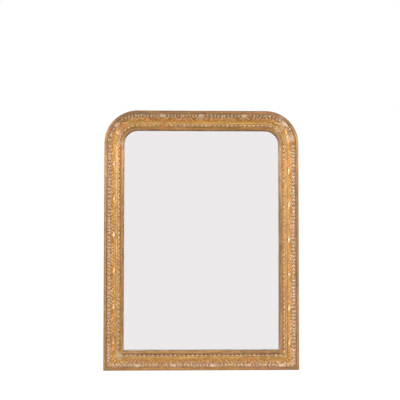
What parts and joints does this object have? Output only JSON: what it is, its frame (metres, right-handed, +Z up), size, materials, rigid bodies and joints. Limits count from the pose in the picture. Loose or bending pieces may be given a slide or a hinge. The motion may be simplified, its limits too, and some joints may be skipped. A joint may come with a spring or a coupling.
{
  "type": "arched wall mirror",
  "caption": "Upright wall mirror with rounded upper corners in a worn gilt moulded frame, with bands of leaf ornament, a course of pearls, back boards and ring hangers.",
  "frame": {"origin": "bottom centre of the frame's back plane, which lies on the wall", "axes": "+Y towards the wall, +Z up along the frame's height, +X to the right of someone who looks into it"},
  "size_m": [0.6, 0.0459, 0.798],
  "materials": {
    "gilt_wood": "gesso and worn gilding over softwood, satin",
    "gilt_composition": "cast composition, gilded and rubbed, satin",
    "glass": "clear and polished",
    "silver": "bright silvering",
    "board_wood": "aged bare softwood",
    "bare_wood": "bare softwood",
    "iron": "dark, slightly rusted",
    "brass": "dulled brass"
  },
  "bodies": {
    "frame": {"left_stile": "gilt_wood", "right_stile": "gilt_wood", "bottom_rail": "gilt_wood", "arch_rail": "gilt_wood", "left_ornament": "gilt_composition", "right_ornament": "gilt_composition", "bottom_ornament": "gilt_composition", "arch_ornament": "gilt_composition", "left_bead_strip": "gilt_composition", "right_bead_strip": "gilt_composition", "bottom_bead_strip": "gilt_composition", "arch_bead_strip": "gilt_composition", "mirror_glass": "glass", "silver_backing": "silver", "lower_back_board": "board_wood", "middle_back_board": "board_wood", "upper_back_board": "board_wood", "back_board_nails": "iron", "glass_blocks": "bare_wood", "arch_tenons": "bare_wood", "mitre_splines": "bare_wood", "left_hanger_strap": "brass", "right_hanger_strap": "brass", "hanger_screws": "brass"},
    "left_ring": {"left_hanger_ring": "brass"},
    "right_ring": {"right_hanger_ring": "brass"}
  },
  "joints": [
    {"name": "left_ring_swing", "type": "hinge", "parent": "frame", "child": "left_ring", "pos_m": [-0.2787, 0.00295, 0.59], "axis": [1, 0, 0], "range_deg": [0, 180]},
    {"name": "right_ring_swing", "type": "hinge", "parent": "frame", "child": "right_ring", "pos_m": [0.2787, 0.00295, 0.59], "axis": [1, 0, 0], "range_deg": [0, 180]}
  ]
}
